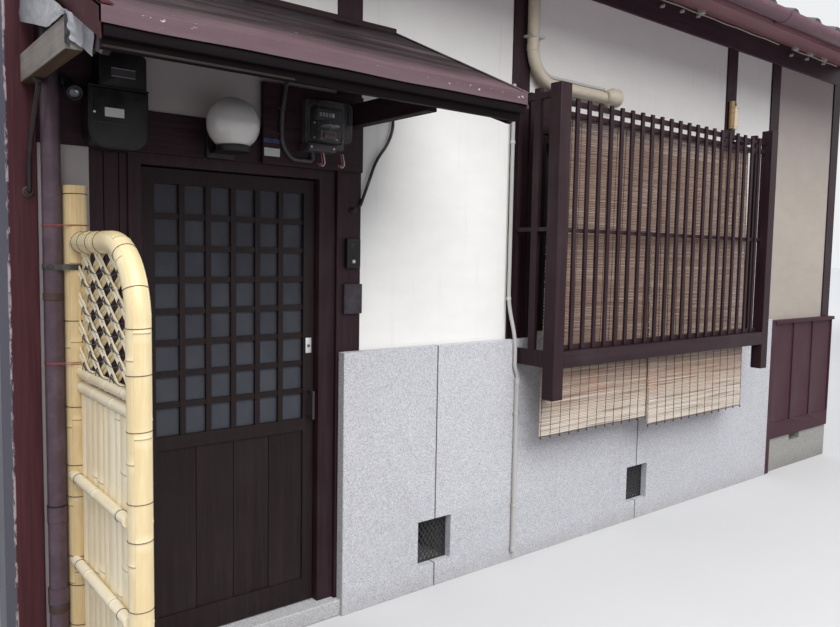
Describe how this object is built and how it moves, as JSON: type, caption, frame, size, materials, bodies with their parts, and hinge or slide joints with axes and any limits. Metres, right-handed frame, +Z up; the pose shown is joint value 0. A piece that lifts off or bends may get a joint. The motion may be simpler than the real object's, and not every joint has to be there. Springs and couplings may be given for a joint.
{
  "type": "machiya townhouse",
  "caption": "Single-storey timber row house with a hinged lattice door under a canopy, a lattice bay over a window, stone dado, bamboo sleeve screen and tiled gable roof.",
  "frame": {"origin": "on the front face of the front posts, in the middle of the street front, at the lowest ground level", "axes": "+X along the street front to the right as seen from the street, +Y into the house, +Z up"},
  "size_m": [6.042, 7.378, 4.6462],
  "materials": {
    "dark_wood": "dark stained timber, satin",
    "red_wood": "reddish brown painted timber",
    "door_wood": "dark brown stained timber, satin",
    "weathered_wood": "unpainted weathered timber",
    "floor_wood": "planed timber",
    "bamboo": "dried split bamboo, satin",
    "blind_bamboo": "fine bamboo slats",
    "white_plaster": "smooth lime plaster",
    "cream_plaster": "smooth cream plaster",
    "party_plaster": "rough cement render",
    "dado_stone": "fine speckled washed aggregate",
    "concrete": "rough concrete",
    "roof_tile": "smoked clay tile",
    "canopy_metal": "worn dark red painted sheet",
    "gutter_metal": "worn reddish brown painted sheet",
    "lead_sheet": "dull crumpled sheet",
    "grille_metal": "dark mesh",
    "hinge_metal": "dull bronze",
    "lock_metal": "satin",
    "frosted_glass": "frosted",
    "lamp_glass": "opal white",
    "black_plastic": "matte",
    "meter_glass": "clear cover over grey parts",
    "cable_plastic": "grey",
    "grey_plastic": "dark grey",
    "duct_plastic": "beige, aged",
    "pipe_plastic": "mauve grey"
  },
  "bodies": {
    "house": {"footings": "concrete", "rear_footing": "concrete", "party_walls": "party_plaster", "wall_posts": "dark_wood", "wall_beams": "dark_wood", "plaster_panels": "white_plaster", "window_wall": "white_plaster", "cream_panel": "cream_plaster", "rear_wall": "white_plaster", "stone_dado": "dado_stone", "vent_grilles": "grille_metal", "wainscot": "red_wood", "wainscot_base": "concrete", "entrance_floor": "concrete", "raised_floor": "floor_wood", "threshold_stone": "dado_stone", "door_frame": "dark_wood", "side_boards": "dark_wood", "transom_boards": "dark_wood", "frame_hinges": "hinge_metal", "canopy_roof": "canopy_metal", "canopy_fascia": "canopy_metal", "canopy_barge_boards": "dark_wood", "canopy_arms": "weathered_wood", "arm_flashing": "lead_sheet", "lamp_base": "black_plastic", "lamp_globe": "lamp_glass", "spotlight": "black_plastic", "breaker_box": "black_plastic", "electric_meter": "meter_glass", "cables": "cable_plastic", "intercom": "black_plastic", "name_plate": "grey_plastic", "bay_posts": "dark_wood", "bay_beam": "dark_wood", "bay_lattice": "dark_wood", "bay_sides": "dark_wood", "bamboo_blinds": "blind_bamboo", "window_frames": "door_wood", "window_glass": "frosted_glass", "air_duct": "duct_plastic", "drain_pipe": "duct_plastic", "downpipe": "pipe_plastic", "gutters": "gutter_metal", "bamboo_frame": "bamboo", "bamboo_lattice": "bamboo", "bamboo_rails": "bamboo", "bamboo_slats": "bamboo", "bamboo_vase": "bamboo", "roof_slopes": "roof_tile", "roof_ridge": "roof_tile", "purlins": "floor_wood", "eave_soffits": "red_wood"},
    "door": {"door_leaf": "door_wood", "door_glass": "frosted_glass", "door_pull": "hinge_metal", "door_lock": "lock_metal", "door_hinges": "hinge_metal"}
  },
  "joints": [
    {"name": "door_hinge", "type": "hinge", "parent": "house", "child": "door", "pos_m": [-2.5285, 0.039, 0], "axis": [0, 0, -1], "range_deg": [0, 90]}
  ]
}
